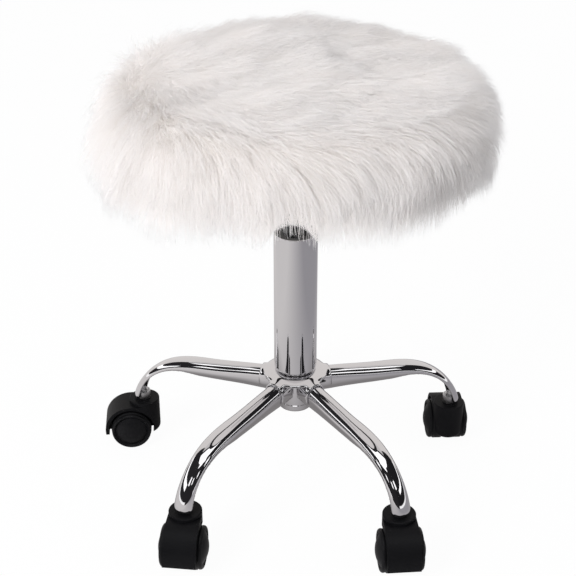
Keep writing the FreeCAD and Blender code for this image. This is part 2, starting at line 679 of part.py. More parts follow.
def make_taper_socket():
    outer = "(taper_diameter / 2)"
    low = f"({taper_radius(TAPER_BOTTOM)} + push_fit)"
    high = f"({taper_radius(TAPER_TOP)} + push_fit)"
    inside, outside = ((high, TAPER_TOP), (low, TAPER_BOTTOM)), ((outer, TAPER_BOTTOM), (outer, TAPER_TOP))
    turned("taper_socket", (*inside, *outside))


def make_lever():
    """The release lever, a bar over the release pin with a rod to the grip, and the pin that it tips on."""
    body = new_body("release_lever")
    low, high = f"({LEVER_HEIGHT} - lever_thickness / 2)", f"({LEVER_HEIGHT} + lever_thickness / 2)"
    bar = sketch_on(body, "bar_side")
    outline(bar, ring("(-lever_tail)", "(lever_pivot + lever_nose)", low, high))
    feature(body, "Pad", "bar", bar, SideType="Symmetric", Length="lever_width")
    rod = sketch_on(body, "rod_section", "YZ_Plane", ("0", LEVER_HEIGHT, "lever_pivot"), "lever_slope")
    circle(rod, "0", "0", "(lever_thickness / 2)")
    feature(body, "Pad", "rod", rod, Length="lever_length")
    cross = sketch_on(body, "cross")
    circle(cross, "lever_pivot", LEVER_HEIGHT, "(lever_pin_diameter / 2 + running_fit)")
    feature(body, "Pocket", "pin_hole", cross, SideType="Symmetric", Length="2 * lever_width")

    pin_half = "(housing_width / 2 + lever_pin_overhang)"
    pin = turned("lever_pin", ring("0", "(lever_pin_diameter / 2)", f"-{pin_half}", pin_half))
    place(pin, ("lever_pivot", "0", LEVER_HEIGHT), about((1, 0, 0), 90))

    bore, outer = "(lever_thickness / 2 + push_fit)", "(grip_diameter / 2)"
    grip = turned(
        "lever_grip",
        (
            (bore, "0"),
            (f"({outer} - grip_round / 2)", "0"),
            (outer, "grip_round"),
            (outer, "(grip_length - grip_round)", "grip_round", "left"),
            (f"({outer} - grip_round)", "grip_length"),
            ("0", "grip_length"),
            ("0", "(grip_overlap + push_fit)"),
            (bore, "(grip_overlap + push_fit)"),
        ),
    )
    along = "(lever_length - grip_overlap)"
    reach = f"(lever_pivot + {along} * cos(lever_slope))"
    height = f"({LEVER_HEIGHT} - {along} * sin(lever_slope))"
    place(grip, (reach, "0", height), about((0, 1, 0), 90 + number("lever_slope")))


def make_bolts():
    body = new_body("plate_bolts")
    head = sketch_on(body, "head_section", "XY_Plane", ("0", "0", f"({HOUSING_TOP} - bolt_head_height)"))
    circle(head, "bolt_circle", "0", "(bolt_head_diameter / 2)")
    head = feature(body, "Pad", "head", head, Length="bolt_head_height")
    shank_start = f"({HOUSING_TOP} - bolt_head_height / 2)"
    shank = sketch_on(body, "shank_section", "XY_Plane", ("0", "0", shank_start))
    circle(shank, "bolt_circle", "0", "(bolt_diameter / 2)")
    length = "(bolt_head_height / 2 + plate_thickness + bolt_reach)"
    shank = feature(body, "Pad", "shank", shank, Length=length)
    patterned(body, [head, shank], BOLT_COUNT)
    turn_to_corners(body)


def make_tee_nuts():
    body = new_body("tee_nuts")
    bore = "(bolt_diameter / 2 + push_fit)"
    flange_bottom = f"({BOARD_TOP} - nut_flange_thickness)"
    barrel_bottom = "(board_bottom + plate_thickness / 2)"
    barrel = sketch_on(body, "barrel_section", "XY_Plane", ("0", "0", barrel_bottom))
    circle(barrel, "bolt_circle", "0", "(nut_diameter / 2)")
    circle(barrel, "bolt_circle", "0", bore)
    barrel = feature(body, "Pad", "barrel", barrel, Length="(board_thickness - plate_thickness / 2)")
    flange = sketch_on(body, "flange_section", "XY_Plane", ("0", "0", flange_bottom))
    circle(flange, "bolt_circle", "0", "(nut_flange_diameter / 2)")
    circle(flange, "bolt_circle", "0", bore)
    flange = feature(body, "Pad", "flange", flange, Length="nut_flange_thickness")
    patterned(body, [barrel, flange], BOLT_COUNT)
    turn_to_corners(body)


# The cushion
def make_board():
    body = turned("seat_board", ring("0", "(foam_radius - board_inset)", "board_bottom", BOARD_TOP))
    bolt_holes(body, "barrel_holes", BOARD_TOP, "(nut_diameter / 2 + push_fit)", "2 * board_thickness")
    flange = "(nut_flange_diameter / 2 + push_fit)"
    bolt_holes(body, "flange_recesses", BOARD_TOP, flange, "nut_flange_thickness")
    turn_to_corners(body)


def make_foam():
    shoulder = f"({FOAM_TOP} - foam_crown)"
    flat = "(foam_radius - foam_round)"
    turned(
        "seat_foam",
        (
            ("0", FOAM_BOTTOM),
            ("foam_radius", FOAM_BOTTOM),
            ("foam_radius", f"({shoulder} - foam_round)", "foam_round", "left"),
            (flat, shoulder, crown_radius(flat, "foam_crown"), "left"),
            ("0", FOAM_TOP),
        ),
    )


def make_fur_cover():
    """The fur's outer form over a cavity for the foam and board, turned under the board to a hem."""
    shoulder = f"({FOAM_TOP} - foam_crown)"
    flat = "(foam_radius - foam_round)"
    inside = "(foam_radius + soft_gap)"
    outside = "(foam_radius + fur_side)"
    outer_flat = f"({outside} - fur_round)"
    outer_shoulder = f"({shoulder} + fur_top)"
    fringe = "(board_bottom - fur_fringe)"
    fringe_inner = "(foam_radius + fur_fringe_inset)"
    turned(
        "fur_cover",
        (
            ("0", f"({FOAM_TOP} + soft_gap)", crown_radius(flat, "foam_crown"), "right"),
            (flat, f"({shoulder} + soft_gap)", "(foam_round + soft_gap)", "right"),
            (inside, f"({shoulder} - foam_round)"),
            (inside, HEM_TOP),
            ("hem_inner", HEM_TOP),
            ("hem_inner", HEM_BOTTOM),
            ("foam_radius", HEM_BOTTOM),
            (fringe_inner, fringe),
            (f"({fringe_inner} + fur_fringe_width)", fringe),
            (outside, BOARD_TOP),
            (outside, f"({outer_shoulder} - fur_round)", "fur_round", "left"),
            (outer_flat, outer_shoulder, crown_radius(outer_flat, "foam_crown"), "left"),
            ("0", f"({FOAM_TOP} + fur_top)"),
        ),
    )


def make_dust_cover():
    top = f"({HEM_BOTTOM} - soft_gap)"
    outer = "(foam_radius - dust_inset)"
    turned("dust_cover", ring("dust_inner", outer, f"({top} - dust_thickness)", top))


# The casters
def make_hood(label):
    """A caster's hood in its own frame: swivel axis on Z, wheels trailing along +X."""
    body = new_body(label)
    fender = sketch_on(body, "fender_side")
    outline(
        fender,
        (
            ("0", "hood_lip"),
            (HOOD_BACK, "hood_lip", "hood_radius", "left"),
            ("caster_trail", HOOD_TOP),
            ("0", HOOD_TOP),
        ),
    )
    feature(body, "Pad", "fender", fender, SideType="Symmetric", Length="neck_diameter")
    neck = (
        ("0", "neck_bottom"),
        (f"({NECK_RADIUS} - neck_round)", "neck_bottom", "neck_round", "left"),
        (NECK_RADIUS, "(neck_bottom + neck_round)"),
        (NECK_RADIUS, "(neck_top - neck_edge)", "neck_edge", "left"),
        (f"({NECK_RADIUS} - neck_edge)", "neck_top"),
        ("0", "neck_top"),
    )
    spin(body, "Revolution", "neck", neck)
    room = sketch_on(body, "wheel_room_side")
    circle(room, "caster_trail", WHEEL_RADIUS, f"({WHEEL_RADIUS} + wheel_room)")
    feature(body, "Pocket", "wheel_room", room, SideType="Symmetric", Length="2 * neck_diameter")
    web = sketch_on(body, "web_side")
    inset = "(hood_radius - wheel_room / 2)"
    web_back = f"(caster_trail + sqrt({inset}^2 - ({WHEEL_RADIUS} - hood_lip)^2))"
    boss_bottom = f"({WHEEL_RADIUS} - boss_radius)"
    front = f"(caster_trail - {WHEEL_RADIUS} - wheel_room * 2)"
    outline(
        web,
        (
            (front, "(neck_bottom + neck_round)"),
            ("(caster_trail - boss_radius)", boss_bottom),
            ("(caster_trail + boss_radius)", boss_bottom),
            (web_back, "hood_lip", inset, "left"),
            ("caster_trail", f"({WHEEL_RADIUS} + {inset})"),
            (front, f"({WHEEL_RADIUS} + {inset})"),
        ),
    )
    feature(body, "Pad", "web", web, SideType="Symmetric", Length="web_thickness")
    stem_hole = ring("0", f"({STEM_RADIUS} + push_fit)", "(neck_top - stem_depth)", "(neck_top * 2)")
    spin(body, "Groove", "stem_hole", stem_hole)
    axle = sketch_on(body, "axle_side")
    circle(axle, "caster_trail", WHEEL_RADIUS, "(axle_diameter / 2 + push_fit)")
    feature(body, "Pocket", "axle_hole", axle, SideType="Symmetric", Length="2 * web_thickness")
    return body


def make_stem(label):
    """A caster's stem, with a groove for its grip ring."""
    bottom = "(neck_top - stem_depth)"
    groove = f"({STEM_RADIUS} - grip_ring_depth)"
    return turned(
        label,
        (
            ("0", bottom),
            (STEM_RADIUS, bottom),
            (STEM_RADIUS, RING_BOTTOM),
            (groove, RING_BOTTOM),
            (groove, RING_TOP),
            (STEM_RADIUS, RING_TOP),
            (STEM_RADIUS, f"({STEM_TOP} - stem_tip)"),
            (f"({STEM_RADIUS} - stem_tip)", STEM_TOP),
            ("0", STEM_TOP),
        ),
    )


def make_wheel(label):
    """A wheel, its axle along Z: tread in the hood, a beaded rim outside it, and a domed face."""
    inner = "(web_thickness / 2 + wheel_side_gap)"
    outer = f"({inner} + wheel_width)"
    bore = "(axle_diameter / 2 + running_fit)"
    blind = "(web_thickness / 2 + axle_reach + wheel_side_gap)"
    edge = "(bead_width / 4)"
    bead_bottom = f"({outer} - bead_width)"
    groove = f"({outer} - bead_width / 2)"
    face = f"({WHEEL_RADIUS} - bead_width)"
    return turned(
        label,
        (
            (bore, inner),
            (f"({WHEEL_RADIUS} - {edge})", inner, edge, "left"),
            (WHEEL_RADIUS, f"({inner} + {edge})"),
            (WHEEL_RADIUS, f"({bead_bottom} - {edge})"),
            (f"({WHEEL_RADIUS} - {edge})", bead_bottom, "(bead_width * 0.66)", "left"),
            (f"({WHEEL_RADIUS} - bead_width / 2)", outer),
            (face, groove, crown_radius(face, "wheel_dome"), "left"),
            ("0", f"({groove} + wheel_dome)"),
            ("0", blind),
            (bore, blind),
        ),
    )


def make_axle(label):
    half = "(web_thickness / 2 + axle_reach)"
    return turned(label, ring("0", "(axle_diameter / 2)", f"-{half}", half))


def make_caster(place_name, angle):
    """One caster on its leg, trailing the way the sheet says."""
    name = f"caster_{place_name}"
    turn = f"{place_name}_caster_turn"
    swivel = (f"caster_circle * cos({angle})", f"caster_circle * sin({angle})", "0")
    facing = about((0, 0, 1), number(turn))
    place(make_hood(f"{name}_hood"), swivel, facing)
    place(make_stem(f"{name}_stem"), swivel, facing)
    across, back = f"{swivel[0]} + caster_trail * cos({turn})", f"{swivel[1]} + caster_trail * sin({turn})"
    axle = (across, back, WHEEL_RADIUS)
    place(make_axle(f"{name}_axle"), axle, facing * about((1, 0, 0), 90))
    place(make_wheel(f"{name}_wheel_left"), axle, facing * about((1, 0, 0), -90))
    place(make_wheel(f"{name}_wheel_right"), axle, facing * about((1, 0, 0), 90))


make_hub_tube()
make_hub_cover()
for place_name, angle in LEG_ANGLES.items():
    make_leg(place_name, angle)
socket_bore = f"({STEM_RADIUS} + running_fit)"
first_leg = LEG_ANGLES["right"]
make_ring_group("stem_sockets", socket_bore, SOCKET_RADIUS, SOCKET_BOTTOM, "socket_length", first_leg)
ring_inner = f"({STEM_RADIUS} - grip_ring_depth + running_fit)"
ring_outer = f"({socket_bore} - push_fit)"
ring_bottom = f"({RING_BOTTOM} + running_fit)"
ring_height = "(grip_ring_height - 2 * running_fit)"
make_ring_group("grip_rings", ring_inner, ring_outer, ring_bottom, ring_height, first_leg)
make_column_tube()
make_guide_bush()
make_thrust_bearing()
make_rod()
make_cylinder()
make_seat_plate()
make_lever_housing()
make_taper_socket()
make_lever()
make_bolts()
make_tee_nuts()
make_board()
make_foam()
make_fur_cover()
make_dust_cover()
for place_name, angle in LEG_ANGLES.items():
    make_caster(place_name, angle)
doc.recompute()

failed = [item.Label for item in doc.Objects if {"Invalid", "Error"} & set(item.State)]
failed += [body.Label for body in NODES if body.Shape.isNull() or not body.Shape.isValid()]
if failed:
    raise RuntimeError(f"these did not build: {failed}")

os.makedirs("parts", exist_ok=True)
for body in NODES:
    body.Shape.exportStep(f"parts/{body.Label}.step")
    print(f"{body.Label}: {len(body.Shape.Solids)} solids, {body.Shape.Volume / 1000:.2f} cm3")
print(f"{len(NODES)} pieces")
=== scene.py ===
# %% [markdown]
# A rolling vanity stool: a round cushion in long white fur on a chrome gas lift, over five pressed tube
# legs and five black twin-wheel casters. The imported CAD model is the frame, in metres, with +Z up and the
# floor at zero. This lesson adds the camera, the light, a finish for each piece and the fur, which CAD
# leaves as a plain block.

import json
import math

import bpy
import numpy as np
from mathutils import Euler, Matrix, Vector, kdtree


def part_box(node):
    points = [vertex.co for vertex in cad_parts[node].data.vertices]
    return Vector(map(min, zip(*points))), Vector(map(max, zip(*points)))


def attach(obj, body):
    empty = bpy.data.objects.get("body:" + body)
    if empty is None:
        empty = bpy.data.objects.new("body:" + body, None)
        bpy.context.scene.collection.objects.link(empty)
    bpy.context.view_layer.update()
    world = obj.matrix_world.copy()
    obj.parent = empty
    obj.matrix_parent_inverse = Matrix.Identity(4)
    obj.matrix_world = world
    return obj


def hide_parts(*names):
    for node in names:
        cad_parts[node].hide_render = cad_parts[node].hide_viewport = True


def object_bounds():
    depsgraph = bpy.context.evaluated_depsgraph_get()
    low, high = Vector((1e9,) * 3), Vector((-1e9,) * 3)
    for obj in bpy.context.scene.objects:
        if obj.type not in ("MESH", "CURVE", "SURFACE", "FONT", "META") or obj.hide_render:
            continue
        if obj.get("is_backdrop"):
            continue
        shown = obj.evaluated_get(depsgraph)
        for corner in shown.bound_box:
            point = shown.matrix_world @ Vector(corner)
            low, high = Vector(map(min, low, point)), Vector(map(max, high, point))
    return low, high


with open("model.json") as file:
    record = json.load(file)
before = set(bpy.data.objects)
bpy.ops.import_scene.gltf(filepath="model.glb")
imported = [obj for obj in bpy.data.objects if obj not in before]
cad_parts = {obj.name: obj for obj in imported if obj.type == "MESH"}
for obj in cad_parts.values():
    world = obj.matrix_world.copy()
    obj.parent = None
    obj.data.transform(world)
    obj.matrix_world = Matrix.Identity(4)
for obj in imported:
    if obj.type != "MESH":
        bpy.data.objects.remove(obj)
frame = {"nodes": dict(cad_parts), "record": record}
cad_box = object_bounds()
nodes = frame["nodes"]
scene = bpy.context.scene
MM = 0.001
print("CAD box", [[round(c, 3) for c in corner] for corner in cad_box])

# %% [markdown]
# The camera stands where the photographer's did. Its height, distance and lens were worked out from the
# column, the caster necks and the wheels, which have known sizes. The base is turned a little from the
# photograph's view, so the camera goes round the column by the same small angle instead, and the CAD
# keeps its tidy leg angles.

# %% The camera
PHOTO_SIDE = 576
FOCAL_PIXELS = 1304.7
CAMERA_PLACE = Vector((-0.005, -1.3132, 0.97))
CAMERA_DOWN = math.radians(28.58)
CAMERA_YAW = math.radians(0.16)
BASE_TURN = math.radians(1.3)

camera = bpy.data.objects.new("camera", bpy.data.cameras.new("camera"))
camera.data.sensor_width = 36
camera.data.lens = FOCAL_PIXELS * camera.data.sensor_width / PHOTO_SIDE
camera.location = CAMERA_PLACE
camera.location.rotate(Euler((0, 0, BASE_TURN)))
camera.rotation_euler = (math.radians(90) - CAMERA_DOWN, 0, CAMERA_YAW + BASE_TURN)
scene.collection.objects.link(camera)
scene.camera = camera
scene.view_settings.view_transform = "Standard"
print("lens", round(camera.data.lens, 1), "mm")

# %% [markdown]
# Every finish below is built from shader nodes. Three small helpers keep that short. One turns an sRGB hex
# colour, as read from a picture, into the linear numbers that a shader works in. One adds a node with its
# settings and links. One starts an empty material.


# %% Helpers for finishes
def linear(hex_colour):
    """An sRGB hex colour as linear red, green, blue and alpha."""
    parts = [int(hex_colour[i : i + 2], 16) / 255 for i in (1, 3, 5)]
    return (*[p / 12.92 if p <= 0.04045 else ((p + 0.055) / 1.055) ** 2.4 for p in parts], 1)


def add(tree, kind, inputs=None, **settings):
    """A new shader node. An input is a value, or another node's socket to link from."""
    node = tree.nodes.new(f"ShaderNode{kind}")
    for name, setting in settings.items():
        setattr(node, name, setting)
    for name, value in (inputs or {}).items():
        if isinstance(value, bpy.types.NodeSocket):
            tree.links.new(value, node.inputs[name])
        else:
            node.inputs[name].default_value = value
    return node


def new_material(name):
    """A new material with an empty node tree, and that tree."""
    made = bpy.data.materials.new(name)
    made.use_nodes = True
    made.node_tree.nodes.clear()
    return made, made.node_tree


print("chrome grey", [round(c, 3) for c in linear("#dddcde")])

# %% [markdown]
# The stool was photographed on a white sweep, so the background is plain white to the camera and to
# mirrors. Matt surfaces get an even light from all round, a little below white.

# %% World
AMBIENT = 0.71
BACKDROP = 1.2

world = bpy.data.worlds.new("white_sweep")
scene.world = world
world.use_nodes = True
tree = world.node_tree
tree.nodes.clear()
path = add(tree, "LightPath")
seen = {0: path.outputs["Is Camera Ray"], 1: path.outputs["Is Glossy Ray"]}
seen = add(tree, "Math", seen, operation="MAXIMUM")
seen = {0: seen.outputs[0], 1: path.outputs["Is Transmission Ray"]}
seen = add(tree, "Math", seen, operation="MAXIMUM")
ambient = add(tree, "Background", {"Color": linear("#f4f5f8"), "Strength": AMBIENT})
backdrop = add(tree, "Background", {"Color": (1, 1, 1, 1), "Strength": BACKDROP})
shown = add(tree, "MixShader", {0: seen.outputs[0], 1: ambient.outputs[0], 2: backdrop.outputs[0]})
add(tree, "OutputWorld", {"Surface": shown.outputs[0]})
print("ambient light", AMBIENT)

# %% [markdown]
# The floor is the same white paper. The camera sees it as white with a trace of the stool's shadow. Mirrors
# see painted shade on it instead: a painted shadow of the seat, grey under it, and painted shade that
# deepens to the right, which gives the chrome its shape.


# %% Floor
def mesh_object(name, points, faces):
    """A smooth-shaded mesh object in the scene."""
    mesh = bpy.data.meshes.new(name)
    mesh.from_pydata(points, [], faces)
    mesh.polygons.foreach_set("use_smooth", [True] * len(mesh.polygons))
    made = bpy.data.objects.new(name, mesh)
    scene.collection.objects.link(made)
    return made


def stage_piece(made, finish, **shown_to):
    """Marks a piece of the studio, and hides it from the rays named as False."""
    made.data.materials.append(finish)
    for kind, visible in shown_to.items():
        setattr(made, f"visible_{kind}", visible)
    made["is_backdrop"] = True


FLOOR_HALF = 6.0
FLOOR_WHITE = 0.96
SHADE_STRETCH = (1.0, 1.3, 0.0)
SHADE_SHIFT = (0.0, -0.06, 0.0)
UNDER_SEAT, PAST_SEAT = 0.17, 0.34
SHADE_SIDE = 0.4

corners = [(x * FLOOR_HALF, y * FLOOR_HALF, 0) for x, y in ((-1, -1), (1, -1), (1, 1), (-1, 1))]
floor = mesh_object("floor", corners, [(0, 1, 2, 3)])
sweep, tree = new_material("white_paper_sweep")
path = add(tree, "LightPath")
matte = add(tree, "BsdfDiffuse", {"Color": linear("#f7f7f7")})
white = add(tree, "Emission", {"Color": (1, 1, 1, 1), "Strength": 1.0})
lit = add(tree, "MixShader", {0: FLOOR_WHITE, 1: matte.outputs[0], 2: white.outputs[0]})
place = add(tree, "TexCoord").outputs["Object"]
away = add(tree, "VectorMath", {0: place, 1: SHADE_STRETCH, 2: SHADE_SHIFT}, operation="MULTIPLY_ADD")
away = add(tree, "VectorMath", {0: away.outputs["Vector"]}, operation="LENGTH")
away = {"Value": away.outputs["Value"], "From Min": UNDER_SEAT, "From Max": PAST_SEAT}
away = add(tree, "MapRange", away)
across = add(tree, "SeparateXYZ", {0: place})
across = {"Value": across.outputs["X"], "From Min": -SHADE_SIDE, "From Max": SHADE_SIDE}
across = add(tree, "MapRange", across)
# Painted shade for mirrors: the floor darker to the right, and grey under the seat as its painted shadow.
far = {"Factor": across.outputs[0], "A": linear("#dedbda"), "B": linear("#a3a1a5")}
far = add(tree, "Mix", far, data_type="RGBA")
painted_seat_shadow = {"Factor": away.outputs[0], "A": linear("#8d8a8a"), "B": far.outputs["Result"]}
painted_seat_shadow = add(tree, "Mix", painted_seat_shadow, data_type="RGBA")
mirrored = add(tree, "Emission", {"Color": painted_seat_shadow.outputs["Result"], "Strength": 1.0})
shown = {0: path.outputs["Is Camera Ray"], 1: matte.outputs[0], 2: lit.outputs[0]}
shown = add(tree, "MixShader", shown)
shown = {0: path.outputs["Is Glossy Ray"], 1: shown.outputs[0], 2: mirrored.outputs[0]}
shown = add(tree, "MixShader", shown)
add(tree, "OutputMaterial", {"Surface": shown.outputs[0]})
stage_piece(floor, sweep)
print("floor", 2 * FLOOR_HALF, "m wide")

# %% [markdown]
# The photograph's soft light falls from the front left, so the fur's lower right side is in shade. One
# large softbox gives that. A weak one on the right and some light thrown up by the floor keep the shade
# open. Mirrors see the cards of the next step instead of the lamps.


# %% Lamps
def lamp(name, place, aim, size, watts):
    """A square soft lamp pointed at a place, and hidden from mirrors."""
    made = bpy.data.objects.new(name, bpy.data.lights.new(name, "AREA"))
    made.data.size = size
    made.data.energy = watts
    made.location = place
    made.rotation_euler = (Vector(aim) - Vector(place)).to_track_quat("-Z", "Y").to_euler()
    made.visible_glossy = False
    scene.collection.objects.link(made)


lamp("key_softbox", place=(-1.9, -2.1, 1.9), aim=(0, 0, 0.4), size=1.2, watts=72)
lamp("fill_softbox", place=(2.3, -1.0, 1.9), aim=(0, 0, 0.3), size=0.8, watts=3)
lamp("floor_bounce", place=(0, -0.5, 0.02), aim=(0, -0.5, 1.0), size=1.6, watts=1.5)

# %% [markdown]
# Chrome only shows what is around it: on a white sweep it would vanish. So, as in a studio, it mirrors
# cards, which are painted reflections: dark walls with lit strips and windows in them, a pale wall behind
# the stool, and a ceiling with a lit front. Strips and windows become the white lines along the legs and
# the panes on their bends. The camera doesn't see the cards, and they cast no shadow and no light.

# %% Cards for the chrome to mirror
LIT, LIT_STRENGTH = "#ffffff", 1.6
DARK = "#2a292b"
ROOM = 3.0
INSIDE = 2.95
CEILING = 4.6
UNDERSIDE = 0.42


def card(name, points, faces, hex_colour):
    """A glowing card that only mirrors see: a painted reflection."""
    finish, tree = new_material(name)
    strength = LIT_STRENGTH if hex_colour == LIT else 1.0
    glow = add(tree, "Emission", {"Color": linear(hex_colour), "Strength": strength})
    add(tree, "OutputMaterial", {"Surface": glow.outputs[0]})
    hidden = dict(camera=False, diffuse=False, shadow=False, transmission=False, volume_scatter=False)
    stage_piece(mesh_object(name, points, faces), finish, **hidden)


def wall_card(name, low, high, first_turn, last_turn, hex_colour, room=ROOM, steps=24):
    """A curved card round the set, between two heights and two turns from +X."""
    turns = np.radians(np.linspace(first_turn, last_turn, steps + 1))
    points = [(room * math.cos(t), room * math.sin(t), z) for t in turns for z in (low, high)]
    card(name, points, [(2 * i, 2 * i + 2, 2 * i + 3, 2 * i + 1) for i in range(steps)], hex_colour)


def ceiling_card(name, near, far, hex_colour):
    """A flat card overhead, between two distances behind the column."""
    corners = [(-ROOM, near), (ROOM, near), (ROOM, far), (-ROOM, far)]
    card(name, [(x, y, CEILING) for x, y in corners], [(0, 1, 2, 3)], hex_colour)


def ring_card(name, inner, outer, hex_colour, steps=48):
    """A flat ring under the seat, which stands in for its underside."""
    turns = [2 * math.pi * i / steps for i in range(steps)]
    points = [(r * math.cos(t), r * math.sin(t), UNDERSIDE) for t in turns for r in (inner, outer)]
    ends = 2 * steps
    faces = [(2 * i, 2 * i + 1, (2 * i + 3) % ends, (2 * i + 2) % ends) for i in range(steps)]
    card(name, points, faces, hex_colour)


print("cards stand", ROOM, "m from the column, under a ceiling at", CEILING, "m")

# %% [markdown]
# Heights are in metres, and turns in degrees from +X. The lit pieces stand just inside the walls, so that
# mirrors see them first. Under the seat, a pale ring with a dark edge stands in for the seat's underside,
# as a painted reflection paler than that underside in its shade.

# %% Cards round the set
wall_card("left_wall", 0.25, CEILING, 150, 246, "#2b2a2c")
wall_card("right_wall", 0.25, CEILING, -66, 30, "#232224")
wall_card("back_wall", 0, CEILING, 30, 150, "#eae6e3")
wall_card("camera_side_wall", 0, 3.6, 246, 294, DARK)
wall_card("camera_side_glow", 3.6, CEILING, 246, 294, LIT)
wall_card("left_strip", 0.9, 1.4, 150, 212, LIT, INSIDE)
wall_card("right_strip", 0.95, 1.25, -32, 30, LIT, INSIDE)
wall_card("left_window", 1.5, 2.3, 222, 234, LIT, INSIDE)
wall_card("right_window", 1.5, 2.3, 306, 318, LIT, INSIDE)
wall_card("camera_side_left_window", 1.5, 2.1, 252, 260, LIT, INSIDE)
wall_card("camera_side_right_window", 1.5, 2.1, 280, 288, LIT, INSIDE)
# Painted reflection: the seat's underside, deep in shade, drawn pale.
ring_card("seat_underside", 0.001, 0.15, "#e4e0de")
ring_card("seat_underside_edge", 0.15, 0.19, DARK)
ceiling_card("ceiling_glow", -ROOM, 0.1, LIT)
ceiling_card("ceiling_edge", 0.1, 0.7, DARK)
ceiling_card("ceiling_back", 0.7, ROOM, "#d8d5d4")

# %% [markdown]
# The tubes are steel, pressed, polished and chrome plated. Chrome is a neutral mirror: almost no colour of
# its own and very low roughness. Pressed tube is never quite true, so its mirror image swims a little. A
# faint bump with a 40 mm wave does that. Zinc plate and ground steel are duller, with a fine grain.


# %% Chrome plate and the other metals
def metal(name, hex_colour, rough_low, rough_high, grain_mm, bump_mm, detail=3.0):
    """A bare or plated metal whose roughness varies over its grain."""
    made, tree = new_material(name)
    place = add(tree, "TexCoord").outputs["Object"]
    grain = add(tree, "TexNoise", {"Vector": place, "Scale": 1 / (grain_mm * MM), "Detail": detail})
    rough = {"Value": grain.outputs[0], "To Min": rough_low, "To Max": rough_high}
    rough = add(tree, "MapRange", rough)
    bump = {"Height": grain.outputs[0], "Distance": bump_mm * MM, "Strength": 1.0}
    bump = add(tree, "Bump", bump)
    inputs = {"Base Color": linear(hex_colour), "Metallic": 1.0}
    inputs.update({"Roughness": rough.outputs[0], "Normal": bump.outputs[0]})
    shader = add(tree, "BsdfPrincipled", inputs)
    add(tree, "OutputMaterial", {"Surface": shader.outputs[0]})
    return made


chrome_plate = metal("polished_chrome_plate", "#dddcde", 0.03, 0.06, 40, 0.01, 0.0)
zinc_plate = metal("zinc_plated_steel", "#cfcfd0", 0.25, 0.4, 2, 0.01)
ground_steel = metal("ground_bearing_steel", "#b4b4b6", 0.12, 0.2, 1, 0.004)
print("metals", [made.name for made in (chrome_plate, zinc_plate, ground_steel)])

# %% [markdown]
# Caster hoods and wheels are nylon, injection moulded in a tool with a fine spark-eroded texture. That
# gives a near-black grey with a wide soft gloss. The texture's real grain is about 0.2 mm, too fine to show
# here, so it is drawn at 0.8 mm. Paint, cloth, plywood and foam share the same function with their own
# colours, grain and roughness.

# %% Moulded plastics, paint and the hidden materials
PATCH_MM = 30
ROUGH_SWING = 0.06


def moulded(name, hex_colour, hex_worn, roughness, grain_mm, bump_mm, shine=0.5):
    """A moulded or sprayed finish: a colour with slight patches, and a fine grain."""
    made, tree = new_material(name)
    place = add(tree, "TexCoord").outputs["Object"]
    grain = add(tree, "TexNoise", {"Vector": place, "Scale": 1 / (grain_mm * MM), "Detail": 2.0})
    patches = add(tree, "TexNoise", {"Vector": place, "Scale": 1 / (PATCH_MM * MM), "Detail": 2.0})
    colour = {"Factor": patches.outputs[0], "A": linear(hex_colour), "B": linear(hex_worn)}
    colour = add(tree, "Mix", colour, data_type="RGBA")
    rough = {"Value": grain.outputs[0]}
    rough.update({"To Min": roughness - ROUGH_SWING, "To Max": roughness + ROUGH_SWING})
    rough = add(tree, "MapRange", rough)
    bump = {"Height": grain.outputs[0], "Distance": bump_mm * MM, "Strength": 1.0}
    bump = add(tree, "Bump", bump)
    inputs = {"Base Color": colour.outputs["Result"], "Specular IOR Level": shine}
    inputs.update({"Roughness": rough.outputs[0], "Normal": bump.outputs[0]})
    shader = add(tree, "BsdfPrincipled", inputs)
    add(tree, "OutputMaterial", {"Surface": shader.outputs[0]})
    return made


FINISHES = {
    "chrome": chrome_plate,
    "zinc_steel": zinc_plate,
    "bearing_steel": ground_steel,
    "black_paint": moulded("satin_black_powder_coat", "#19191b", "#212123", 0.4, 1.2, 0.05),
    "black_plastic": moulded("black_acetal", "#121213", "#19191a", 0.35, 1.0, 0.02),
    "black_nylon": moulded("textured_black_nylon", "#0d0d0f", "#121214", 0.45, 0.8, 0.05, 0.1),
    "wheel_black": moulded("satin_black_nylon", "#101012", "#151517", 0.4, 0.8, 0.03, 0.16),
    "plywood": moulded("raw_birch_plywood", "#c9a878", "#b8935f", 0.65, 3.0, 0.05),
    "foam": moulded("open_cell_foam", "#d9cfa6", "#cbbf92", 0.9, 1.0, 0.3),
    "black_felt": moulded("black_spunbond_cloth", "#1c1c1d", "#29292a", 0.85, 0.7, 0.15),
}
for part in frame["record"]["subparts"]:
    finish = FINISHES.get(part["material_slot"])
    if finish:
        mesh = nodes[part["node"]].data
        mesh.materials.clear()
        mesh.materials.append(finish)
print("finishes", sorted(FINISHES))

# %% [markdown]
# CAD meshes a curved tube in long thin triangles, and a mirror shows every one of them. So the legs and the
# hub cover get small even faces, are smoothed a little, and have their shading normals averaged over a few
# millimetres. These are modifiers: the CAD mesh under them stays as it is.

# %% Even faces for the pressed chrome
FACE_MM = 0.8
SMOOTH_ROUNDS = 6
NORMAL_ROUNDS = 36


